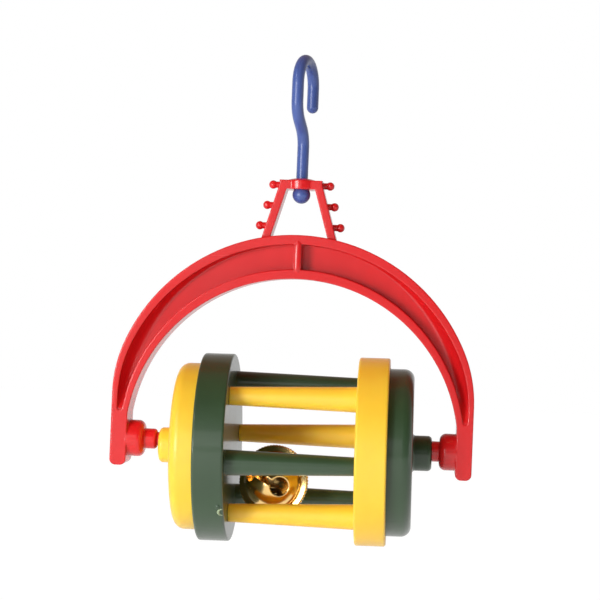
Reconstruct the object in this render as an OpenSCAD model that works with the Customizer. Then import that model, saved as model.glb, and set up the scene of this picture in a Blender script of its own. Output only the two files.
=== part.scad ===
// Hanging bird toy: a moulded bow on a swivel hook carries a rolling cage with a loose jingle bell.
// Millimetres. +Z is up, X runs along the roll, -Y is the front.
// The origin is the hang point, at the inside top of the hook's loop.

/* [Hook] */
// Diameter of the hook's round rod
rod_d = 4; // [3:0.1:5]
// Radius of the loop at the middle of the rod
loop_r = 8.5; // [6:0.1:12]
// Length of the straight tip under the loop
hook_tip_len = 6.4; // [3:0.1:12]
// Length of the straight limb between loop and bend
limb_len = 6; // [4:0.5:20]
// Height of the bend between limb and shaft
bend_h = 15; // [10:0.5:24]
// Radius of the bend at the middle of the rod
bend_r = 8.3; // [4:0.1:8.6]
// Length of the shaft from the bend to the ball's centre
shaft_len = 16.1; // [8:0.1:24]
// Diameter of the ball that carries the bow
ball_d = 6.1; // [5.5:0.1:8]
// Turn of the hook's plane about the upright axis
hook_turn = 76; // [-180:1:180]

/* [Swivel] */
// Room round the hook's rod in the top bar's hole
hole_play = 0.65; // [0.3:0.05:0.8]
// Gap between the ball and the edge of the hole
ball_seat_gap = 0.15; // [0.05:0.05:0.4]

/* [Ladder] */
// Height of the ladder from the bow's crown to the top bar's underside
ladder_h = 15.6; // [12:0.1:24]
// Depth of the ladder, front to back
ladder_depth = 9; // [6:0.5:11]
// Width of each ladder leg
leg_w = 2.9; // [1.8:0.1:4]
// Half distance between the legs where they stand on the bow
leg_foot = 10.8; // [9:0.1:16]
// Half distance between the legs at the top bar
leg_head = 5.8; // [5:0.1:8]
// Thickness of the top bar
bar_t = 3; // [2:0.1:5]
// Height of the dome round the hole
dome_h = 1; // [0.5:0.1:1.5]
// Diameter of the dome and of the bar's round middle
dome_d = 11; // [9:0.1:12]
// Diameter of the knobs
knob_d = 2.9; // [2.2:0.1:4]
// Diameter of the knobs' stems
stem_d = 2.2; // [1.2:0.1:2.5]
// Distance from a leg's middle to the knob's centre
knob_reach = 3.9; // [3:0.1:6]
// Height between one knob and the next
knob_pitch = 7; // [5:0.1:7.5]
// Number of knobs on each leg
knob_count = 3; // [1:1:3]

/* [Bow] */
// Depth of the bow, front to back
bow_depth = 12.2; // [8:0.1:16]
// Thickness of the bow at its crown
crown_t = 14.8; // [11:0.1:22]
// Thickness of the legs at the pins
leg_t = 5.5; // [5:0.1:9]
// How much larger the outer arc's radius is than the legs' half width
arc_over = 1.5; // [0.5:0.1:3]
// Radius of the shoulders between the outer arc and the legs
shoulder_r = 45; // [20:1:50]
// How far the arch is cut behind the faces that carry the pins
arch_relief = 0.7; // [0.3:0.1:1.2]
// How far the legs reach below the pins
leg_drop = 8.9; // [7.5:0.1:14]
// Radius at the corners of the legs' ends
leg_corner_r = 2; // [0.5:0.1:2.4]
// Thickness of the flanges beside the pockets' lower ends
flange_t = 1.9; // [1:0.1:2.2]
// How much thicker the flanges are at the crown
flange_more = 1.2; // [0.2:0.1:2]
// Thickness of the web between the pockets
web_t = 2; // [1.5:0.1:4]
// Width of the rib at the crown
rib_w = 2.4; // [1.5:0.1:5]
// Height of the pockets' lower ends above the pins
pocket_foot = 10.5; // [9:0.5:18]

/* [Pins] */
// Diameter of the boss on each leg
boss_d = 12.4; // [9:0.1:14]
// Length of the boss
boss_len = 5.5; // [3:0.1:9]
// Diameter of the collar
collar_d = 6.9; // [5:0.1:8]
// Length of the collar
collar_len = 4.25; // [3:0.05:8]
// Diameter of the pin's tip
pin_tip_d = 4.7; // [3:0.1:5]
// Length of the pin's tip
pin_tip_len = 7; // [4:0.5:10]
// Radius of the rounded end of the boss
boss_round = 2.2; // [0.5:0.1:2.6]
// Radius of the rounded end of the collar
collar_round = 1.1; // [0.3:0.1:1.2]
// How far each collar enters its hub when the roll is centred
pin_grip = 0.45; // [0.2:0.05:1]

/* [Running gaps] */
// Room round the collar in the hub's bore
collar_play = 0.9; // [0.2:0.05:1.1]
// Smallest gap left where the roll hangs on a pin
hang_gap = 0.1; // [0.05:0.01:0.15]
// How far the roll hangs to the right of the bow's middle
roll_shift = 1.35; // [-0.4:0.05:1.5]
// Gap between the pin's end and the floor of the bore
bore_end_gap = 0.6; // [0.3:0.1:2]

/* [Roll] */
// Distance between the two discs
cage_len = 42.3; // [36:0.1:60]
// Diameter of the discs
disc_d = 63.4; // [58:0.1:76]
// Thickness of the discs at the rim
disc_t = 10.4; // [7:0.1:14]
// Thickness of the plates that carry the bars
plate_t = 3; // [2:0.1:4]
// Radius on the discs' edges
disc_round = 0.7; // [0.3:0.1:1.5]
// Width of the rim round the cap
rim_w = 3.5; // [2.5:0.1:5]
// Distance from the rim to the bars' axes
bar_edge = 8.7; // [8.5:0.1:12]
// Diameter of a bar where it grows from its own disc
bar_root_d = 8.5; // [7:0.1:9]
// Diameter of a bar where it meets the other disc
bar_tip_d = 6.1; // [5.5:0.1:6.9]
// Diameter of the spigot at a bar's end
spigot_d = 4.6; // [3:0.1:5]
// Room round the spigot in its socket
socket_play = 0.1; // [0.05:0.05:0.3]
// Turn of the roll, from the bottom to the first yellow bar
roll_turn = 21.6; // [-180:0.1:180]
// Radius of the sprue mark on the green rim
sprue_r = 1.1; // [0.6:0.1:1.5]
// Place of the sprue mark round the rim, from the bottom
sprue_turn = 56; // [-180:1:180]

/* [Caps] */
// How far a cap stands out of its disc
cap_proud = 8.3; // [5:0.05:14]
// Radius on a cap's outer edge
cap_round = 3.4; // [2.5:0.1:4.5]
// Thickness of a cap's wall
cap_wall = 2.2; // [1.5:0.1:2.4]
// Room between a cap and its disc
cap_play = 0.1; // [0.05:0.05:0.3]
// Length of the hub outside the cap
hub_len = 6.4; // [4:0.1:10]
// Wall of the hub round its bore
hub_wall = 1.6; // [1.3:0.05:3]
// Radius on the hub's end
hub_round = 1.4; // [0.4:0.1:1.4]
// Radius of the fillet at the hub's foot
hub_fillet = 0.8; // [0.4:0.1:2]

/* [Bell] */
// Diameter of the bell's ball
bell_d = 20; // [17:0.1:21]
// Thickness of the bell's sheet
bell_wall = 0.6; // [0.4:0.05:1]
// How far the crimped seam stands out
seam_h = 2.5; // [1.5:0.1:3]
// Thickness of the crimped seam
seam_w = 1.3; // [1:0.1:2]
// Number of notches milled in the seam
seam_notches = 72; // [24:2:72]
// Width of the bell's slot
slot_w = 1.7; // [1:0.1:2.5]
// Diameter of the holes at the slot's ends
slot_hole_d = 6.4; // [3:0.1:6.8]
// Angle from the bell's pole to the middle of each hole
slot_reach = 36; // [25:1:45]
// Turn of the slot about the bell's pole
slot_turn = -22; // [-180:1:180]
// Turn of the bell's pole from the front towards the left
bell_yaw = 17; // [0:1:40]
// Diameter of the wire of the bell's loop
wire_d = 1; // [0.8:0.1:1.6]
// Radius of the bell's loop at the middle of the wire
wire_loop_r = 1.6; // [1.3:0.1:2.4]
// Gap between the bell's loop and the bar behind it
loop_gap = 0.3; // [0.2:0.05:1]
// How much larger the pellet is than the slot's holes
pellet_over = 0.8; // [0.4:0.1:1.5]
// Gap between the bell's seam and the green disc
bell_gap = 1.5; // [0.5:0.05:12]
// Room between the bell and whatever it rolls on
bell_play = 0.3; // [0.2:0.05:0.5]

/* [Hidden] */
$fn = 96;
red = [0.86, 0.12, 0.14];
blue = [0.20, 0.28, 0.62];
yellow = [0.98, 0.80, 0.16];
green = [0.11, 0.25, 0.17];
gold = [0.85, 0.62, 0.22];
steel = [0.72, 0.73, 0.75];

// Small overlap that fuses the shapes of one piece, and how far a cut runs past a face
bite = 0.4;

// Heights on the swivel axis
loop_z = rod_d / 2 - loop_r;
bend_top_z = loop_z - limb_len;
bend_foot_z = bend_top_z - bend_h;
ball_z = bend_foot_z - shaft_len;
hole_d = rod_d + 2 * hole_play;
bar_z = ball_z + sqrt(pow(ball_d, 2) - pow(hole_d, 2)) / 2 + ball_seat_gap;
crown_z = bar_z - ladder_h;

// The bend is two equal arcs with a straight run between them, from the shaft on the axis to the limb beside it
bend_dx = 2 * bend_r - loop_r;
bend_centres = norm([bend_dx, bend_h]);
bend_a = asin(2 * bend_r / bend_centres) - atan2(bend_dx, bend_h);
bend_run = sqrt(pow(bend_centres, 2) - pow(2 * bend_r, 2));

// Roll and pins share the hub's bore
cap_d = disc_d - 2 * rim_w;
roll_len = cage_len + 2 * (disc_t + cap_proud + hub_len);
bore_d = collar_d + 2 * collar_play;
hub_d = bore_d + 2 * hub_wall;
bore_depth = pin_grip + abs(roll_shift) + pin_tip_len + bore_end_gap;
pin_foot = roll_len / 2 - pin_grip + collar_len + boss_len;

// The bow lies between an inner arc round the pins' axis and a higher outer arc, which the shoulders join to the legs
arch_r = pin_foot + arch_relief;
crown_rise = arch_r + crown_t;
leg_out = pin_foot + leg_t;
outer_r = leg_out + arc_over;
outer_rise = crown_rise - outer_r;
shoulder_x = leg_out - shoulder_r;
shoulder_z = outer_rise + sqrt(pow(outer_r - shoulder_r, 2) - pow(shoulder_x, 2));
axis_z = crown_z - crown_rise;

// The roll hangs on the right collar and, lower, on the left pin's tip
right_sag = collar_play - hang_gap;
left_sag = (bore_d - pin_tip_d) / 2 - hang_gap;
right_bearing = pin_foot - boss_len - collar_len;
left_bearing = right_bearing - pin_tip_len / 2;
roll_tilt = asin((left_sag - right_sag) / (right_bearing + left_bearing));
roll_sag = left_sag - (left_bearing + roll_shift) * tan(roll_tilt);

// Cage
bar_ring_r = disc_d / 2 - bar_edge;
bar_step = 120;
bar_angles = [0, bar_step, 2 * bar_step];
green_turn = roll_turn + bar_step / 2;
cup_depth = disc_t - plate_t;

// Bell, lying on the two lowest bars and free to slide along them
bell_r = bell_d / 2;
seam_r = bell_r + seam_h;
half_gap = bar_step / 4;
bell_turn = roll_turn - half_gap;
bar_d_at_bell = bar_root_d - (bar_root_d - bar_tip_d) * (bell_r + bell_play) / cage_len;
bell_to_bar = bell_r + bar_d_at_bell / 2 + bell_play;
bell_drop = bar_ring_r * cos(half_gap) - sqrt(pow(bell_to_bar, 2) - pow(bar_ring_r * sin(half_gap), 2));
bell_along = bell_gap + seam_r - cage_len / 2;
pellet_d = slot_hole_d + pellet_over;
pellet_drop = bell_r - bell_wall - bell_play - pellet_d / 2;

// The bell has rolled back until its loop lies just above the bar behind it
bar_dip = atan2(bar_ring_r * cos(half_gap) - bell_drop, bar_ring_r * sin(half_gap)) + bell_turn;
loop_reach = (bell_r + 1.5 * wire_loop_r) * cos(bell_yaw);
loop_room = bar_d_at_bell / 2 + wire_d / 2 + loop_gap;
bell_rise = bar_dip - acos((pow(loop_reach, 2) + pow(bell_to_bar, 2) - pow(loop_room, 2))
                           / (2 * loop_reach * bell_to_bar));

// Half-section of a round piece, from z0 to z1, with its outer edge rounded at z1
module end_rounded_band(r, z0, z1, edge) {
    translate([0, z0]) square([r - edge, z1 - z0]);
    translate([0, z0]) square([r, z1 - z0 - edge]);
    intersection() {
        translate([r - edge, z1 - edge]) circle(edge);
        translate([0, z0]) square([r, z1 - z0]);
    }
}

// Half-section of a round piece with both outer edges rounded
module rounded_band(r, z0, z1, edge) {
    translate([0, z0]) square([r - edge, z1 - z0]);
    translate([0, z0 + edge]) square([r, z1 - z0 - 2 * edge]);
    for (z = [z0 + edge, z1 - edge]) translate([r - edge, z]) circle(edge);
}

// Puts a shape drawn on the XZ plane upright, centred front to back
module upright(depth) {
    rotate([90, 0, 0]) linear_extrude(depth, center = true) children();
}

// Places a shape drawn along +Z on the roll's hanging axis, with +X of the drawing at the bottom
module on_roll() {
    translate([roll_shift, 0, axis_z - roll_sag]) rotate([0, 90 - roll_tilt, 0]) children();
}

// Part of a ring of rod, swept in the XZ plane about its centre
module rod_arc(r, from, sweep) {
    rotate([90, 0, 0]) rotate([0, 0, from]) rotate_extrude(angle = sweep) translate([r, 0]) circle(d = rod_d);
}

// Drawn along the rod, from the ball at the foot to the round tip
module hook() {
    color(blue) rotate([0, 0, hook_turn]) {
        translate([0, 0, ball_z]) rotate_extrude() {
            intersection() {
                circle(d = ball_d);
                translate([0, -ball_d]) square([ball_d, 2 * ball_d]);
            }
            square([rod_d / 2, shaft_len]);
        }
        translate([-bend_r, 0, bend_foot_z]) rod_arc(bend_r, 0, bend_a);
        translate([-bend_r, 0, bend_foot_z]) rotate([0, -bend_a, 0]) translate([bend_r, 0, 0])
            cylinder(d = rod_d, h = bend_run);
        translate([bend_r - loop_r, 0, bend_top_z]) rod_arc(bend_r, 180, bend_a);
        translate([-loop_r, 0, bend_top_z]) cylinder(d = rod_d, h = limb_len);
        translate([0, 0, loop_z]) rod_arc(loop_r, 0, 180);
        translate([loop_r, 0, loop_z]) mirror([0, 0, 1]) rotate_extrude() {
            square([rod_d / 2, hook_tip_len]);
            translate([0, hook_tip_len]) intersection() {
                circle(d = rod_d);
                square(rod_d);
            }
        }
    }
}

// Everything under the bow's outer side, drawn inside it by an inset, with the pins' axis at the origin
module under_bow(foot_z, inset) {
    far = 2 * outer_r;
    rise = atan2(shoulder_z - outer_rise, shoulder_x);
    beyond = [far * cos(rise), outer_rise + far * sin(rise)];
    for (side = [0, 1]) mirror([side, 0]) {
        intersection() {
            translate([0, outer_rise]) circle(outer_r - inset);
            polygon([[-bite, outer_rise], [0, outer_rise], beyond, [beyond[0], far], [-bite, far]]);
        }
        translate([shoulder_x, shoulder_z]) circle(shoulder_r - inset);
        translate([-bite, foot_z]) square([leg_out - inset + bite, shoulder_z - foot_z]);
    }
}

// Outline of the bow from the front
module bow_outline() {
    corner_z = leg_corner_r - leg_drop;
    inner_corner_x = pin_foot + leg_corner_r;
    outer_corner_x = leg_out - leg_corner_r;
    difference() {
        under_bow(corner_z, 0);
        intersection() {
            circle(arch_r);
            square([2 * pin_foot, 4 * arch_r], center = true);
        }
    }
    for (side = [0, 1]) mirror([side, 0]) {
        for (x = [inner_corner_x, outer_corner_x]) translate([x, corner_z]) circle(leg_corner_r);
        translate([inner_corner_x, -leg_drop]) square([outer_corner_x - inner_corner_x, leg_corner_r + bite]);
    }
}

// Outline of the pocket on the right of the rib, with a round lower end.
// Its outer side is lowered and its inner side raised, so the flanges grow thicker towards the crown.
module pocket_outline() {
    pocket_in = arch_r + flange_t;
    side_x = leg_out - flange_t;
    end_z = pocket_foot - flange_more;
    end_r = (pow(side_x, 2) + pow(end_z, 2) - pow(pocket_in, 2)) / (2 * (side_x + pocket_in));
    end_x = side_x - end_r;
    rib_side = rib_w / 2;
    intersection() {
        difference() {
            translate([0, -flange_more]) under_bow(0, flange_t);
            translate([0, flange_more]) circle(pocket_in);
        }
        polygon([
            [rib_side, flange_more + end_z * rib_side / end_x],
            [end_x, pocket_foot],
            [outer_r, pocket_foot],
            [outer_r, crown_rise],
            [rib_side, crown_rise]
        ]);
    }
    translate([end_x, pocket_foot]) circle(end_r);
}

// Stepped pin that points along +Z from the leg's face
module stepped_pin() {
    collar_end = boss_len + collar_len;
    rotate_extrude() {
        end_rounded_band(boss_d / 2, -bite, boss_len, boss_round);
        end_rounded_band(collar_d / 2, 0, collar_end, collar_round);
        end_rounded_band(pin_tip_d / 2, 0, collar_end + pin_tip_len, pin_tip_d / 6);
    }
}

// The ladder's legs, top bar and knobs, with the top bar's underside at z = 0
module ladder() {
    knob_z = bar_t / 2;
    lean = (leg_foot - leg_head) / ladder_h;
    leg_sink = ladder_h + flange_t;
    foot_x = leg_head + lean * leg_sink;
    dome_r = (pow(dome_d / 2, 2) + pow(dome_h, 2)) / (2 * dome_h);
    for (side = [0, 1]) mirror([side, 0, 0]) {
        upright(ladder_depth) polygon([
            [foot_x - leg_w / 2, -leg_sink],
            [foot_x + leg_w / 2, -leg_sink],
            [leg_head + leg_w / 2, bar_t / 2],
            [leg_head - leg_w / 2, bar_t / 2]
        ]);
        for (i = [0 : knob_count - 1]) {
            drop = i * knob_pitch;
            leg_x = leg_head + lean * max(0, drop - knob_z);
            translate([leg_x, 0, knob_z - drop]) {
                rotate([0, 90, 0]) cylinder(d = stem_d, h = knob_reach);
                translate([knob_reach, 0, 0]) sphere(d = knob_d);
            }
        }
    }
    upright(ladder_depth) translate([-leg_head - leg_w / 2, 0]) square([2 * leg_head + leg_w, bar_t]);
    cylinder(d = dome_d, h = bar_t);
    intersection() {
        translate([0, 0, bar_t + dome_h - dome_r]) sphere(dome_r);
        translate([0, 0, bar_t / 2]) cylinder(d = dome_d, h = bar_t);
    }
}

module bow() {
    pocket_depth = (bow_depth - web_t) / 2;
    color(red) {
        translate([0, 0, axis_z]) {
            difference() {
                upright(bow_depth) bow_outline();
                for (face = [-1, 1], side = [0, 1])
                    translate([0, face * (web_t + pocket_depth + bite) / 2, 0])
                        upright(pocket_depth + bite) mirror([side, 0]) pocket_outline();
            }
            for (side = [-1, 1]) translate([side * pin_foot, 0, 0]) rotate([0, -side * 90, 0]) stepped_pin();
        }
        difference() {
            translate([0, 0, bar_z]) ladder();
            translate([0, 0, bar_z - bite]) cylinder(d = hole_d, h = bar_t + dome_h + 2 * bite);
        }
    }
}

// One half of the cage: a cupped disc with three tapered bars along +Z, and sockets for the other half
module cage_half(bars_turn, sockets_turn) {
    difference() {
        rotate_extrude() {
            difference() {
                rounded_band(disc_d / 2, -disc_t, 0, disc_round);
                translate([0, -disc_t - bite]) square([cap_d / 2 + cap_play, cup_depth + bite]);
            }
        }
        for (a = bar_angles) rotate([0, 0, -sockets_turn - a]) translate([bar_ring_r, 0, -plate_t - bite])
            cylinder(d = spigot_d + 2 * socket_play, h = plate_t + 2 * bite);
    }
    for (a = bar_angles) rotate([0, 0, -bars_turn - a]) translate([bar_ring_r, 0, 0]) {
        translate([0, 0, -bite]) cylinder(d = bar_root_d, h = bite);
        cylinder(d1 = bar_root_d, d2 = bar_tip_d, h = cage_len);
        translate([0, 0, cage_len - bite]) cylinder(d = spigot_d, h = plate_t + bite);
    }
}

module green_cage_half() {
    color(green) on_roll() translate([0, 0, -cage_len / 2]) {
        cage_half(green_turn, roll_turn);
        rotate([0, 0, -sprue_turn]) translate([disc_d / 2 - sprue_r / 2, 0, -disc_round - sprue_r]) sphere(sprue_r);
    }
}

module yellow_cage_half() {
    color(yellow) on_roll() mirror([0, 0, 1]) translate([0, 0, -cage_len / 2]) cage_half(roll_turn, green_turn);
}

// Hollow cap with its hub, from the skirt's foot at z = 0 outwards along +Z
module end_cap() {
    face_z = cup_depth + cap_proud;
    hub_z = face_z + hub_len;
    boss_z = hub_z - bore_depth - cap_wall;
    inner_round = cap_round - cap_wall;
    rotate_extrude() {
        difference() {
            union() {
                end_rounded_band(cap_d / 2, 0, face_z, cap_round);
                end_rounded_band(hub_d / 2, face_z - bite, hub_z, hub_round);
                difference() {
                    translate([hub_d / 2 - bite, face_z - bite]) square(hub_fillet + bite);
                    translate([hub_d / 2 + hub_fillet, face_z + hub_fillet]) circle(hub_fillet);
                }
            }
            difference() {
                translate([0, -bite]) end_rounded_band(cap_d / 2 - cap_wall, 0, face_z - cap_wall + bite, inner_round);
                translate([0, boss_z]) square([hub_d / 2, face_z]);
            }
            translate([0, hub_z - bore_depth]) square([bore_d / 2, bore_depth + bite]);
        }
    }
}

module yellow_end_cap() {
    color(yellow) on_roll() mirror([0, 0, 1]) translate([0, 0, cage_len / 2 + plate_t]) end_cap();
}

module green_end_cap() {
    color(green) on_roll() translate([0, 0, cage_len / 2 + plate_t]) end_cap();
}

// Places a shape at the bell's centre, without turning the bell
module at_bell() {
    on_roll() rotate([0, 0, -bell_turn]) translate([bell_drop, 0, bell_along])
        rotate([0, 0, bell_turn]) rotate([0, roll_tilt - 90, 0]) children();
}

// Turns a shape from +Z to the bell's slotted pole
module to_bell_pole() {
    at_bell() rotate([0, 0, -bell_yaw]) rotate([90 - bell_rise, 0, 0]) rotate([0, 0, slot_turn]) children();
}

// One half of the bell's thin shell, above z = 0
module half_shell() {
    rotate_extrude() intersection() {
        difference() {
            circle(bell_r);
            circle(bell_r - bell_wall);
        }
        square(bell_r);
    }
}

module bell_slotted_half() {
    slot_len = 2 * bell_r * sin(slot_reach);
    color(gold) to_bell_pole() difference() {
        half_shell();
        translate([-slot_len / 2, -slot_w / 2, 0]) cube([slot_len, slot_w, bell_d]);
        for (side = [-1, 1]) rotate([0, side * slot_reach, 0]) cylinder(d = slot_hole_d, h = bell_d);
    }
}

module bell_crown_half() {
    seam_in = bell_r + bell_wall / 12;
    notch_d = seam_w / 2;
    color(gold) to_bell_pole() difference() {
        union() {
            mirror([0, 0, 1]) half_shell();
            rotate_extrude() {
                difference() {
                    rounded_band(seam_r, -seam_w / 2, seam_w / 2, seam_w / 3);
                    translate([0, -seam_w]) square([seam_in, 2 * seam_w]);
                }
                translate([bell_r - bell_wall / 2, -seam_w / 2]) square([bell_wall, seam_w / 2]);
            }
        }
        for (i = [1 : seam_notches]) rotate([0, 0, i * 360 / seam_notches])
            translate([seam_r, 0, -seam_w]) cylinder(d = notch_d, h = 2 * seam_w, $fn = 16);
    }
}

module bell_loop() {
    foot_z = -bell_r - wire_loop_r / 2;
    color(gold) to_bell_pole() difference() {
        translate([0, 0, foot_z]) rotate([90, 0, 0]) rotate_extrude() translate([wire_loop_r, 0]) circle(d = wire_d);
        sphere(bell_r);
    }
}

module bell_pellet() {
    color(steel) at_bell() translate([0, 0, -pellet_drop]) sphere(d = pellet_d);
}

hook();
bow();
green_cage_half();
yellow_cage_half();
yellow_end_cap();
green_end_cap();
bell_crown_half();
bell_slotted_half();
bell_loop();
bell_pellet();
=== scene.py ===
# %% [markdown]
# A hanging bird toy, dressed for its portrait.
# The toy is a blue hook, a red moulded bow and a roll of green and yellow bars,
# with a gold jingle bell loose inside.
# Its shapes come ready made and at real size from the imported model, so this lesson is about finish:
# a camera that matches a studio photograph, soft light, four moulded plastics and a bright plated bell.

# %% Load the toy
import math

import bmesh
import bpy
from mathutils import Matrix, Vector


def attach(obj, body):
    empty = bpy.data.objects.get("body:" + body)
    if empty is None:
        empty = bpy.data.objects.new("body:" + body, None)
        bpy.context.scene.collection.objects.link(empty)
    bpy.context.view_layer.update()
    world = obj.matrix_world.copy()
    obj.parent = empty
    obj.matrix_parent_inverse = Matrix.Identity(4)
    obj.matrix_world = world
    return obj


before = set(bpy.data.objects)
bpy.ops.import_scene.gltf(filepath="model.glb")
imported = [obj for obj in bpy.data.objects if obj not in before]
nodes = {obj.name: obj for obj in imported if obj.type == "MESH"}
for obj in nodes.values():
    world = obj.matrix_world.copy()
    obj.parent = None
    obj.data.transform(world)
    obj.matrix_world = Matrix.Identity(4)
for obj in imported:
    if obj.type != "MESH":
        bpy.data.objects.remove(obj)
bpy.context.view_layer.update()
MM = 0.001
print("pieces:", sorted(nodes))

# %% [markdown]
# The camera stands a little to the right of the toy, level with the middle of the picture.
# A short lens close by could fill the frame too, but it would show more of the discs' faces,
# which the photograph shows nearly edge on. So the lens is long, and the camera stands well back.
# The toy hung slightly askew when it was photographed. Leaning the camera gives the same picture
# and leaves the toy upright in its own frame, where its joints are.

# %% Camera
CAMERA_AZIMUTH = math.radians(3.83)
CAMERA_HEIGHT_ANGLE = math.radians(-0.43)
CAMERA_LEAN = math.radians(2.33)
CAMERA_DISTANCE = 597.5 * MM
AIM_POINT = Vector((0.97, 0.0, -79.32)) * MM
LENS_MM = 105.55
SENSOR_MM = 36.0
NEAREST_SEEN = 10 * MM


def make_camera():
    level = math.cos(CAMERA_HEIGHT_ANGLE)
    away = Vector((
        math.sin(CAMERA_AZIMUTH) * level,
        -math.cos(CAMERA_AZIMUTH) * level,
        math.sin(CAMERA_HEIGHT_ANGLE),
    ))
    right = (-away).cross(Vector((0, 0, 1))).normalized()
    up = right.cross(-away)
    lean = Matrix.Rotation(CAMERA_LEAN, 3, away)
    turn = Matrix((lean @ right, lean @ up, away)).transposed()
    data = bpy.data.cameras.new("portrait_camera")
    data.lens = LENS_MM
    data.sensor_width = SENSOR_MM
    data.clip_start = NEAREST_SEEN
    camera = bpy.data.objects.new("portrait_camera", data)
    camera.matrix_world = Matrix.Translation(AIM_POINT + away * CAMERA_DISTANCE) @ turn.to_4x4()
    bpy.context.scene.collection.objects.link(camera)
    bpy.context.scene.camera = camera
    return camera


camera = make_camera()
print("camera at", [round(c, 3) for c in camera.matrix_world.translation])

# %% [markdown]
# The photograph has a plain white ground, so a pale floor lies far below the toy.
# A brighter lamp could bleach the floor, but it would bleach the toy with it. Instead, a Light Path node
# makes the floor glow white for the rays that look at it: those from the lens,
# and those from gloss or glass that mirrors it.
# A tenth of the paint stays, so it can still take a shadow.

# %% Floor
FLOOR_Z = -420 * MM
FLOOR_SIZE = 12.0
FLOOR_PAINT = (0.92, 0.92, 0.92, 1)
FLOOR_GLOW = 1.1
FLOOR_GLOW_SHARE = 0.9
WHITE = (1, 1, 1, 1)


def material(name):
    mat = bpy.data.materials.new(name)
    mat.use_nodes = True
    mat.node_tree.nodes.clear()
    return mat, mat.node_tree.nodes, mat.node_tree.links


def math_node(tree, operation, first, second):
    node = tree.nodes.new("ShaderNodeMath")
    node.operation = operation
    for socket, value in zip(node.inputs, (first, second)):
        if isinstance(value, (int, float)):
            socket.default_value = value
        else:
            tree.links.new(value, socket)
    return node.outputs[0]


def looking_rays(tree, path):
    """1 for a ray from the lens, a gloss or a glass, and 0 for one that only carries light."""
    direct = math_node(tree, "MAXIMUM", path.outputs["Is Camera Ray"], path.outputs["Is Glossy Ray"])
    return math_node(tree, "MAXIMUM", direct, path.outputs["Is Transmission Ray"])


def make_floor():
    bpy.ops.mesh.primitive_plane_add(size=FLOOR_SIZE, location=(0, 0, FLOOR_Z))
    floor = bpy.context.object
    floor.name = "floor"
    mat, n, links = material("pale_floor")
    paint = n.new("ShaderNodeBsdfDiffuse")
    paint.inputs["Color"].default_value = FLOOR_PAINT
    glow = n.new("ShaderNodeEmission")
    glow.inputs["Color"].default_value = WHITE
    glow.inputs["Strength"].default_value = FLOOR_GLOW
    seen = looking_rays(mat.node_tree, n.new("ShaderNodeLightPath"))
    mix = n.new("ShaderNodeMixShader")
    links.new(math_node(mat.node_tree, "MULTIPLY", seen, FLOOR_GLOW_SHARE), mix.inputs["Fac"])
    links.new(paint.outputs[0], mix.inputs[1])
    links.new(glow.outputs[0], mix.inputs[2])
    out = n.new("ShaderNodeOutputMaterial")
    links.new(mix.outputs[0], out.inputs["Surface"])
    floor.data.materials.append(mat)
    return floor


floor = make_floor()
print(floor.name, "at", FLOOR_Z, "m")

# %% [markdown]
# The studio is a white backdrop behind the toy and a dim room on the camera's side.
# A plain grey world could light the toy too, but evenly, and the plastics would lose their form.
# So the world is bright towards the back, fades upwards,
# and turns warm overhead, where the red bow hangs over the roll.
# The lens sees it white all round, and gloss or glass sees it white where the backdrop is bright.

# %% World
BACKDROP_LIGHT = 0.95
BACKDROP_FALL = 0.6
STUDIO_LIGHT = 0.12
OVERHEAD_TINT = (0.75, 0.25, 0.12, 1)
BEHIND_SPAN = (-0.35, 0.55)
FALL_SPAN = (0.0, 0.5)
OVERHEAD_SPAN = (0.2, 0.9)


def ramp(tree, value, span, rise="LINEAR"):
    """0 below the span and 1 above it."""
    node = tree.nodes.new("ShaderNodeMapRange")
    node.interpolation_type = rise
    node.inputs["From Min"].default_value = span[0]
    node.inputs["From Max"].default_value = span[1]
    tree.links.new(value, node.inputs["Value"])
    return node.outputs[0]


def overhead_colour(tree, height):
    """White at the sides, and the bow's warm tint overhead."""
    tint = tree.nodes.new("ShaderNodeMix")
    tint.data_type = "RGBA"
    tint.inputs["A"].default_value = WHITE
    tint.inputs["B"].default_value = OVERHEAD_TINT
    tree.links.new(ramp(tree, height, OVERHEAD_SPAN, "SMOOTHSTEP"), tint.inputs["Factor"])
    return tint.outputs["Result"]


def make_world():
    world = bpy.data.worlds.new("white_studio")
    bpy.context.scene.world = world
    world.use_nodes = True
    tree = world.node_tree
    n, links = tree.nodes, tree.links
    n.clear()
    split = n.new("ShaderNodeSeparateXYZ")
    links.new(n.new("ShaderNodeTexCoord").outputs["Generated"], split.inputs[0])
    behind = ramp(tree, split.outputs["Y"], BEHIND_SPAN, "SMOOTHSTEP")
    above = ramp(tree, split.outputs["Z"], FALL_SPAN, "SMOOTHSTEP")
    faded = math_node(tree, "SUBTRACT", 1.0, math_node(tree, "MULTIPLY", above, BACKDROP_FALL))
    backdrop = math_node(tree, "MULTIPLY", behind, faded)
    strength = math_node(tree, "MULTIPLY", backdrop, BACKDROP_LIGHT - STUDIO_LIGHT)
    light = n.new("ShaderNodeBackground")
    links.new(overhead_colour(tree, split.outputs["Z"]), light.inputs["Color"])
    links.new(math_node(tree, "ADD", strength, STUDIO_LIGHT), light.inputs["Strength"])
    white = n.new("ShaderNodeBackground")
    white.inputs["Color"].default_value = WHITE
    path = n.new("ShaderNodeLightPath")
    mirrored = math_node(tree, "MULTIPLY", looking_rays(tree, path), backdrop)
    mirrored = math_node(tree, "MULTIPLY", mirrored, faded)
    mix = n.new("ShaderNodeMixShader")
    links.new(math_node(tree, "MAXIMUM", path.outputs["Is Camera Ray"], mirrored), mix.inputs["Fac"])
    links.new(light.outputs[0], mix.inputs[1])
    links.new(white.outputs[0], mix.inputs[2])
    out = n.new("ShaderNodeOutputWorld")
    links.new(mix.outputs[0], out.inputs["Surface"])
    return world


world = make_world()
bpy.context.scene.view_settings.view_transform = "Standard"
print(world.name, "made")

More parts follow.
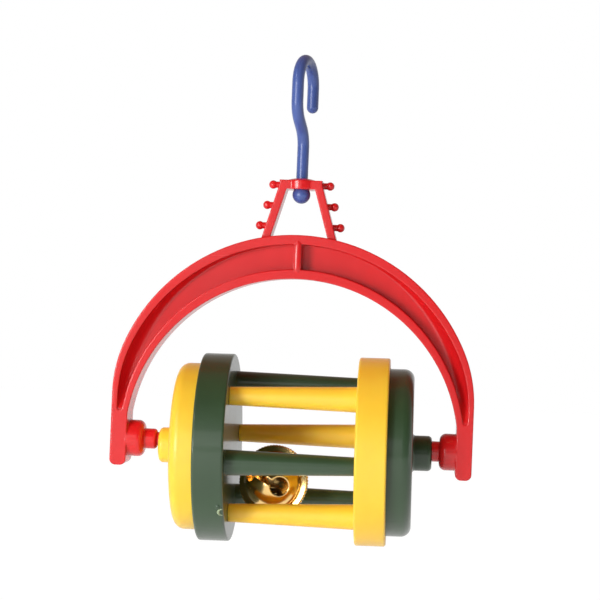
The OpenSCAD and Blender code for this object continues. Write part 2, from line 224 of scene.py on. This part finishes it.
# %% [markdown]
# Six soft panels do the modelling. One large panel could light the toy as well,
# but it would flatten it, and the photograph has a bright side and a dim one.
# The key stands in front on the left, so the left leg is bright and the right pin is in shade.
# A weak fill stands behind the camera, a little to the left and above.
# A small panel high on the left draws a line of light along the rounded edges of the bow.
# One at the floor lights the undersides, and a small one far to the right draws the right edges.
# The overhead panel is warm. Neither it nor the one at the floor shows in the gloss,
# because the photograph has no such glare on the bars or in the bow's pockets.
# Places and sizes are in metres.

# %% Lights
NEUTRAL = (1.0, 1.0, 1.0)
WARM = (1.0, 0.55, 0.32)


def soft_panel(name, place, size, watts, colour=NEUTRAL, in_gloss=True):
    data = bpy.data.lights.new(name, "AREA")
    data.shape = "SQUARE"
    data.size = size
    data.energy = watts
    data.color = colour
    lamp = bpy.data.objects.new(name, data)
    lamp.location = place
    lamp.rotation_euler = (AIM_POINT - Vector(place)).to_track_quat("-Z", "Y").to_euler()
    lamp.visible_glossy = in_gloss
    bpy.context.scene.collection.objects.link(lamp)
    return lamp


panels = [
    soft_panel("key_panel", place=(-0.86, -1.35, -0.02), size=0.5, watts=14.2),
    soft_panel("edge_panel", place=(-0.85, -1.05, 0.75), size=0.25, watts=3.0),
    soft_panel("fill_panel", place=(-0.22, -1.50, 0.22), size=0.5, watts=0.9),
    soft_panel("floor_bounce", place=(-0.1, -0.25, -0.41), size=0.9, watts=2.7, in_gloss=False),
    soft_panel(
        "overhead_panel", place=(0, -0.25, 0.80), size=0.25, watts=2.5, colour=WARM, in_gloss=False),
    soft_panel("right_panel", place=(1.10, -0.15, -0.10), size=0.3, watts=0.4),
]
print("panels lit:", [panel.name for panel in panels])

# %% [markdown]
# Moulded plastic is never one flat colour. Pigment streaks a little, the skin has a faint orange peel,
# and handling leaves hairline scuffs. Painted images could show this, but they need unwrapped meshes.
# Noise in each piece's own coordinates needs no unwrapping and stays sharp when seen close.
# One node group turns it into a colour, a roughness and a height,
# and each finish sets how strong they are.

# %% Shared group: moulded skin
COLOUR = "NodeSocketColor"
VALUE = "NodeSocketFloat"


def new_group(name, inputs, outputs):
    group = bpy.data.node_groups.new(name, "ShaderNodeTree")
    for label, kind, value in inputs:
        socket = group.interface.new_socket(label, in_out="INPUT", socket_type=kind)
        socket.default_value = value
    for label, kind in outputs:
        group.interface.new_socket(label, in_out="OUTPUT", socket_type=kind)
    return group, group.nodes.new("NodeGroupInput"), group.nodes.new("NodeGroupOutput")


moulded_skin, given, made = new_group(
    "moulded_skin",
    inputs=[
        ("Colour", COLOUR, (0.8, 0.1, 0.1, 1)),
        ("Deep Colour", COLOUR, (0.5, 0.05, 0.05, 1)),
        ("Streaks", VALUE, 0.3),
        ("Roughness", VALUE, 0.3),
        ("Scuffs", VALUE, 0.1),
    ],
    outputs=[("Colour", COLOUR), ("Roughness", VALUE), ("Height", VALUE)],
)
print("group opened:", moulded_skin.name)

# %% [markdown]
# Four noises make the skin: broad clouds of pigment, streaks along the height,
# hairlines from handling, and the orange peel. One noise could do for all of them,
# but on real plastic they differ in size: the clouds are centimetres wide,
# and the peel is finer than a millimetre.

# %% Skin patterns
CLOUD_SCALE = 55.0
CLOUD_SPAN = (0.3, 0.7)
STREAK_SCALE = 120.0
STREAK_SPAN = (0.35, 0.7)
STREAK_STRETCH = (1.0, 1.0, 0.25)
SCUFF_SCALE = 900.0
SCUFF_SPAN = (0.58, 0.75)
SCUFF_STRETCH = (0.06, 1.0, 1.0)
PEEL_SCALE = 1400.0
UNSTRETCHED = (1.0, 1.0, 1.0)


def noise(tree, scale, detail, stretch=UNSTRETCHED):
    where = tree.nodes.new("ShaderNodeTexCoord").outputs["Object"]
    mapping = tree.nodes.new("ShaderNodeMapping")
    mapping.inputs["Scale"].default_value = stretch
    tree.links.new(where, mapping.inputs["Vector"])
    tex = tree.nodes.new("ShaderNodeTexNoise")
    tex.inputs["Scale"].default_value = scale
    tex.inputs["Detail"].default_value = detail
    tree.links.new(mapping.outputs["Vector"], tex.inputs["Vector"])
    return tex.outputs["Fac"]


cloud = ramp(moulded_skin, noise(moulded_skin, CLOUD_SCALE, detail=4.0), CLOUD_SPAN)
streak_noise = noise(moulded_skin, STREAK_SCALE, detail=3.0, stretch=STREAK_STRETCH)
streak = ramp(moulded_skin, streak_noise, STREAK_SPAN)
scuff_noise = noise(moulded_skin, SCUFF_SCALE, detail=3.0, stretch=SCUFF_STRETCH)
hairline = ramp(moulded_skin, scuff_noise, SCUFF_SPAN)
peel_noise = noise(moulded_skin, PEEL_SCALE, detail=2.0)
print("patterns made: cloud, streak, hairline, peel")

# %% [markdown]
# Clouds and streaks together pull the colour towards its deeper shade.
# Scuffs dull the gloss and cut a little into the peel, and the clouds dull it slightly too.
# The group could hold the shader as well, but the export can't read one there,
# so the shader stays in each material.

# %% Skin outputs
CLOUD_DULLING = 0.05
SCUFF_DEPTH = 1.5


def mean(tree, first, second):
    return math_node(tree, "MULTIPLY", math_node(tree, "ADD", first, second), 0.5)


def finish_skin(group):
    deep_share = math_node(group, "MULTIPLY", mean(group, cloud, streak), given.outputs["Streaks"])
    blend = group.nodes.new("ShaderNodeMix")
    blend.data_type = "RGBA"
    group.links.new(deep_share, blend.inputs["Factor"])
    group.links.new(given.outputs["Colour"], blend.inputs["A"])
    group.links.new(given.outputs["Deep Colour"], blend.inputs["B"])
    scuff = math_node(group, "MULTIPLY", hairline, given.outputs["Scuffs"])
    rough = math_node(group, "ADD", given.outputs["Roughness"], scuff)
    rough = math_node(group, "ADD", rough, math_node(group, "MULTIPLY", cloud, CLOUD_DULLING))
    height = math_node(group, "SUBTRACT", peel_noise, math_node(group, "MULTIPLY", scuff, SCUFF_DEPTH))
    group.links.new(blend.outputs["Result"], made.inputs["Colour"])
    group.links.new(rough, made.inputs["Roughness"])
    group.links.new(height, made.inputs["Height"])


finish_skin(moulded_skin)
print("group made:", moulded_skin.name, "nodes:", len(moulded_skin.nodes))

# %% [markdown]
# The hook, the bow and the roll are moulded in four solid colours: one recipe with four sets of values.
# Yellow lets the most light in under its skin, and red a little. Dark green shows the gloss most.
# A mould can't hold a sharp corner, so every edge has a small radius. A bevel modifier could cut it,
# but the imported triangles are uneven, so a Bevel node rounds the shading instead,
# and the shapes stay as imported.
# The red for the blended strips has no such rounding, since their edges run into the bow.

# %% Plastic recipe
EDGE_SAMPLES = 8
PEEL_DEPTH = 0.05 * MM
PLASTIC_IOR = 1.5
LIGHT_DEPTH = 3.0 * MM
LIGHT_DEPTH_BY_COLOUR = (1.0, 0.6, 0.2)
COAT_ROUGHNESS = 0.12


def place_skin(n, colour, deep, streaks, roughness, scuffs):
    skin = n.new("ShaderNodeGroup")
    skin.node_tree = moulded_skin
    skin.inputs["Colour"].default_value = (*colour, 1)
    skin.inputs["Deep Colour"].default_value = (*deep, 1)
    skin.inputs["Streaks"].default_value = streaks
    skin.inputs["Roughness"].default_value = roughness
    skin.inputs["Scuffs"].default_value = scuffs
    return skin.outputs


def rounded_edges(n, edge_mm):
    edge = n.new("ShaderNodeBevel")
    edge.samples = EDGE_SAMPLES
    edge.inputs["Radius"].default_value = edge_mm * MM
    return edge.outputs["Normal"]


def moulded_plastic(name, subsurface, peel, coat, edge_mm, **skin_values):
    mat, n, links = material(name)
    skin = place_skin(n, **skin_values)
    bump = n.new("ShaderNodeBump")
    bump.inputs["Strength"].default_value = peel
    bump.inputs["Distance"].default_value = PEEL_DEPTH
    links.new(skin["Height"], bump.inputs["Height"])
    links.new(rounded_edges(n, edge_mm), bump.inputs["Normal"])
    bsdf = n.new("ShaderNodeBsdfPrincipled")
    bsdf.inputs["IOR"].default_value = PLASTIC_IOR
    bsdf.inputs["Subsurface Weight"].default_value = subsurface
    bsdf.inputs["Subsurface Radius"].default_value = LIGHT_DEPTH_BY_COLOUR
    bsdf.inputs["Subsurface Scale"].default_value = LIGHT_DEPTH
    bsdf.inputs["Coat Weight"].default_value = coat
    bsdf.inputs["Coat Roughness"].default_value = COAT_ROUGHNESS
    links.new(skin["Colour"], bsdf.inputs["Base Color"])
    links.new(skin["Roughness"], bsdf.inputs["Roughness"])
    links.new(bump.outputs["Normal"], bsdf.inputs["Normal"])
    out = n.new("ShaderNodeOutputMaterial")
    links.new(bsdf.outputs[0], out.inputs["Surface"])
    return mat


print("recipe takes its streaks, scuffs and peel from", moulded_skin.name)

# %% [markdown]
# These values are the toy's four colours. They could be taken straight from the photograph,
# but its colours hold the studio's light as well. So they were set by comparing renders with it,
# region by region, under the panels above.

# %% Moulded plastics
RED = dict(
    colour=(0.66, 0.012, 0.015), deep=(0.50, 0.006, 0.008),
    streaks=0.35, roughness=0.22, scuffs=0.02, subsurface=0.12, peel=0.12, coat=0.1)
red_plastic = moulded_plastic("red_plastic", edge_mm=0.8, **RED)
red_blend = moulded_plastic("red_blend", edge_mm=0.0, **RED)
blue_plastic = moulded_plastic(
    "blue_plastic", colour=(0.062, 0.115, 0.37), deep=(0.03, 0.05, 0.22),
    streaks=0.4, roughness=0.28, scuffs=0.10, subsurface=0.0, peel=0.12, coat=0.0, edge_mm=0.3)
yellow_plastic = moulded_plastic(
    "yellow_plastic", colour=(0.95, 0.65, 0.05), deep=(0.85, 0.47, 0.022),
    streaks=0.3, roughness=0.36, scuffs=0.10, subsurface=0.35, peel=0.10, coat=0.1, edge_mm=0.5)
green_plastic = moulded_plastic(
    "green_plastic", colour=(0.026, 0.066, 0.026), deep=(0.013, 0.035, 0.015),
    streaks=0.4, roughness=0.42, scuffs=0.10, subsurface=0.0, peel=0.12, coat=0.45, edge_mm=0.5)
plastics = (red_plastic, red_blend, blue_plastic, yellow_plastic, green_plastic)
print("plastics made:", [mat.name for mat in plastics])

# %% [markdown]
# The bell is pressed from thin sheet and plated, and a steel pellet rings in it.
# Bright metal shows little but its reflections. A glossy yellow plastic could pass for it from afar,
# but it wouldn't mirror the bars, so the shader is fully metallic.
# The shared group gives it faint streaks and a slightly uneven polish.

# %% Plated metals
METAL_STREAKS = 0.5
METAL_SCUFFS = 0.1


def plated_metal(name, colour, deep, roughness, edge_mm):
    mat, n, links = material(name)
    skin = place_skin(n, colour, deep, METAL_STREAKS, roughness, METAL_SCUFFS)
    bsdf = n.new("ShaderNodeBsdfPrincipled")
    bsdf.inputs["Metallic"].default_value = 1.0
    links.new(skin["Colour"], bsdf.inputs["Base Color"])
    links.new(skin["Roughness"], bsdf.inputs["Roughness"])
    links.new(rounded_edges(n, edge_mm), bsdf.inputs["Normal"])
    out = n.new("ShaderNodeOutputMaterial")
    links.new(bsdf.outputs[0], out.inputs["Surface"])
    return mat


gold_plate = plated_metal(
    "gold_plate", colour=(0.96, 0.68, 0.28), deep=(0.82, 0.50, 0.16), roughness=0.17, edge_mm=0.9)
steel_ball = plated_metal(
    "steel_ball", colour=(0.62, 0.63, 0.66), deep=(0.45, 0.45, 0.47), roughness=0.2, edge_mm=0.1)
print("metals made:", gold_plate.name, steel_ball.name)

# %% [markdown]
# On the real toy each piece is one moulding or pressing of one colour, so it takes one finish.
# The pieces could be copied and the copies painted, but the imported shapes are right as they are,
# so they stay, and only their material slots are filled.

# %% Dress the pieces
FINISHES = {
    "hook": blue_plastic,
    "bow": red_plastic,
    "green_cage_half": green_plastic,
    "yellow_cage_half": yellow_plastic,
    "yellow_end_cap": yellow_plastic,
    "green_end_cap": green_plastic,
    "bell_crown_half": gold_plate,
    "bell_slotted_half": gold_plate,
    "bell_loop": gold_plate,
    "bell_pellet": steel_ball,
}


def dress(node, finish):
    piece = nodes[node]
    piece.data.materials.clear()
    piece.data.materials.append(finish)


for node, finish in FINISHES.items():
    dress(node, finish)
    print(node, "gets", finish.name, "triangles:", len(nodes[node].data.polygons))

# %% [markdown]
# The bow's pockets are troughs: the web sweeps up to the outer wall, because a mould fills better
# round a curve. The wall is an arc, a tighter shoulder arc and a straight run down the leg, all tangent.
# Its points could be placed by eye, but three short formulas give them exactly,
# each with the direction that leads into the pocket.
# Lengths are in millimetres here, and heights count from the axis of the bow's pins.

# %% Pocket wall
WALL_R = 60.65
WALL_CENTRE_Z = 7.3
SHOULDER_R = 43.1
SHOULDER_X = 16.05
SHOULDER_Z = 14.4
SIDE_X = 59.15
RIB_SIDE = 1.2
FOOT_END = 9.6
ARC_STEPS = 40
LEG_STEPS = 8


def arc_point(centre_x, centre_z, radius, angle):
    """A point of the wall, and the direction from it to the arc's centre."""
    across = math.cos(angle)
    up = math.sin(angle)
    return centre_x + radius * across, centre_z + radius * up, -across, -up


def wall_path():
    """The pocket's outer wall from the rib to its foot."""
    rib_angle = math.acos(RIB_SIDE / WALL_R)
    shoulder_angle = math.atan2(SHOULDER_Z - WALL_CENTRE_Z, SHOULDER_X)
    path = []
    for i in range(ARC_STEPS):
        angle = rib_angle + (shoulder_angle - rib_angle) * i / ARC_STEPS
        path.append(arc_point(0.0, WALL_CENTRE_Z, WALL_R, angle))
    for i in range(ARC_STEPS):
        angle = shoulder_angle * (1 - i / ARC_STEPS)
        path.append(arc_point(SHOULDER_X, SHOULDER_Z, SHOULDER_R, angle))
    for i in range(LEG_STEPS + 1):
        path.append((SIDE_X, SHOULDER_Z + (FOOT_END - SHOULDER_Z) * i / LEG_STEPS, -1.0, 0.0))
    return path


print("wall points:", len(wall_path()))

# %% [markdown]
# One strip follows that wall in each pocket. A bevel on the bow itself could round the corner,
# but it would be equally wide all the way. The strip takes a small share of the pocket at the crown
# and all of it at the foot, where it ramps up until the pocket runs out.
# Its cubic profile runs out gently on the web, where a round one would leave a line.

# %% Fillet profile
PIN_AXIS_Z = -128.59
INNER_R = 58.15
INNER_CENTRE_Z = 1.2
POCKET_FOOT = 10.5
WEB_FACE = 1.0
CROWN_SHARE = 0.04
FOOT_SHARE = 1.02
SHARE_POWER = 3
RAMP_TOP = 22.0
RAMP_RISE = 4.7
FILLET_STEEPNESS = 0.9
PROFILE_POWER = 3
PROFILE_STEPS = 14
SINK = 0.05
RUN_OUT = 0.005


def fillet_profile(x, z):
    """How far from the wall, and how far from the bow's middle, each point of the profile lies."""
    pocket_w = math.hypot(x, z - INNER_CENTRE_Z) - INNER_R
    reach = pocket_w * (CROWN_SHARE + (FOOT_SHARE - CROWN_SHARE) * (x / SIDE_X) ** SHARE_POWER)
    ramp_share = min(1.0, max(0.0, (RAMP_TOP - z) / (RAMP_TOP - POCKET_FOOT)))
    base = WEB_FACE - RUN_OUT + RAMP_RISE * ramp_share ** 2
    rise = FILLET_STEEPNESS * reach * (1 - ramp_share ** 2)
    profile = [(-SINK, WEB_FACE - SINK), (-SINK, base + rise)]
    for k in range(PROFILE_STEPS + 1):
        u = k / PROFILE_STEPS
        profile.append((reach * u, base + rise * (1 - u) ** PROFILE_POWER))
    profile.append((reach, WEB_FACE - SINK))
    return profile


def fillet_rows(side, front):
    """One closed row of points for each point of the wall, its corners hidden in the bow."""
    rows = []
    for x, z, inward_x, inward_z in wall_path():
        row = []
        for off, depth in fillet_profile(x, z):
            place = (side * (x + inward_x * off), -front * depth, PIN_AXIS_Z + z + inward_z * off)
            row.append(Vector(place) * MM)
        rows.append(row)
    return rows


print("points in a fillet row:", len(fillet_profile(SIDE_X, SHOULDER_Z)))

# %% [markdown]
# A fillet, a crest and a torn mark are all one kind of shape: a section that changes along a line.
# A curve with a bevel could draw it, but its section only grows or shrinks.
# So each row of points goes once round the piece, bmesh joins the rows, and a cap closes each end.
# The pieces are closed because an open edge shades wrongly and leaves a hole in the mesh.

# %% Pocket fillets
SHARP_ANGLE = math.radians(40)


def swept_piece(name, rows, finish, body):
    """A closed piece through rows of points that each go once round it."""
    shape = bmesh.new()
    loops = [[shape.verts.new(point) for point in row] for row in rows]
    for low, high in zip(loops, loops[1:]):
        for k in range(len(low)):
            shape.faces.new((low[k - 1], low[k], high[k], high[k - 1]))
    shape.faces.new(loops[0])
    shape.faces.new(loops[-1])
    bmesh.ops.recalc_face_normals(shape, faces=shape.faces)
    mesh = bpy.data.meshes.new(name)
    shape.to_mesh(mesh)
    shape.free()
    mesh.polygons.foreach_set("use_smooth", [True] * len(mesh.polygons))
    mesh.set_sharp_from_angle(angle=SHARP_ANGLE)
    mesh.materials.append(finish)
    piece = bpy.data.objects.new(name, mesh)
    bpy.context.scene.collection.objects.link(piece)
    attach(piece, body)
    return piece


for side, side_name in ((1, "right"), (-1, "left")):
    for front, face_name in ((1, "front"), (-1, "back")):
        strip_name = "pocket_fillet_%s_%s" % (side_name, face_name)
        piece = swept_piece(strip_name, fillet_rows(side, front), red_blend, "bow")
        print(piece.name, "faces:", len(piece.data.polygons))

# %% [markdown]
# The rib at the crown has a rounded crest that runs out on the flanges. It stands a little proud,
# so it catches one line of light from each side. A stretched sphere could stand in for it,
# but it would be thick in the middle only. Half-round rows that swell fast and then stay even
# give it straight sides.

# %% Rib crests
CREST_LOW = 58.4
CREST_HIGH = 68.9
CREST_HALF_W = 1.15
CREST_PROUD = 0.5
CREST_CUT = 0.985
CREST_POWER = 6
CREST_STEPS = 24
CREST_ROUND_STEPS = 12
BOW_FACE = 6.1


def crest_rows(front):
    """Rows from the rib's lower end to its upper end, cut just before the swell is nothing."""
    rows = []
    for i in range(CREST_STEPS + 1):
        t = CREST_CUT * (2 * i / CREST_STEPS - 1)
        z = PIN_AXIS_Z + CREST_LOW + (CREST_HIGH - CREST_LOW) * i / CREST_STEPS
        swell = math.sqrt(1 - t ** CREST_POWER)
        row = []
        for k in range(CREST_ROUND_STEPS + 1):
            angle = math.pi * k / CREST_ROUND_STEPS
            y = BOW_FACE - SINK + CREST_PROUD * swell * math.sin(angle)
            row.append(Vector((CREST_HALF_W * swell * math.cos(angle), -front * y, z)) * MM)
        rows.append(row)
    return rows


for front, face_name in ((1, "front"), (-1, "back")):
    piece = swept_piece("rib_crest_" + face_name, crest_rows(front), red_blend, "bow")
    print(piece.name, "faces:", len(piece.data.polygons))

# %% [markdown]
# The green disc was filled through its edge, and the runner was torn off there.
# Torn plastic turns pale. A pale patch in the green could show it, but the real mark has a raised lip,
# so it is a pale half ring, thinner at its ends and open towards the disc's face.

# %% Gate mark
GATE_RING_R = 1.35
GATE_LIP_R = 0.5
GATE_END_SHARE = 0.35
GATE_EDGE = -19.9
GATE_ANGLE = math.radians(38)
GATE_SINK = 0.1
GATE_TURN_STEPS = 24
GATE_LIP_STEPS = 10
ROLL_AXIS_Z = -130.2
DISC_R = 31.7

torn_green = moulded_plastic(
    "torn_green", colour=(0.42, 0.52, 0.33), deep=(0.16, 0.24, 0.13),
    streaks=0.9, roughness=0.5, scuffs=0.2, subsurface=0.1, peel=0.5, coat=0.0, edge_mm=0.0)


def gate_ring_point(turn, lip):
    """A point of the lip: turn goes round the half ring, lip goes round its cross-section."""
    out = Vector((0, -math.cos(GATE_ANGLE), -math.sin(GATE_ANGLE)))
    down = Vector((0, math.sin(GATE_ANGLE), -math.cos(GATE_ANGLE)))
    thickness = GATE_LIP_R * (GATE_END_SHARE + (1 - GATE_END_SHARE) * math.sin(turn))
    spoke = Vector((-1, 0, 0)) * math.sin(turn) + down * math.cos(turn)
    foot = Vector((GATE_EDGE, 0, ROLL_AXIS_Z)) + out * (DISC_R - GATE_SINK)
    across = GATE_RING_R + thickness * math.cos(lip)
    return (foot + spoke * across + out * thickness * math.sin(lip)) * MM


turns = [math.pi * i / GATE_TURN_STEPS for i in range(GATE_TURN_STEPS + 1)]
lips = [2 * math.pi * k / GATE_LIP_STEPS for k in range(GATE_LIP_STEPS)]
gate_rows = [[gate_ring_point(turn, lip) for lip in lips] for turn in turns]
gate_mark = swept_piece("gate_mark", gate_rows, torn_green, "roll")
print(gate_mark.name, "faces:", len(gate_mark.data.polygons))
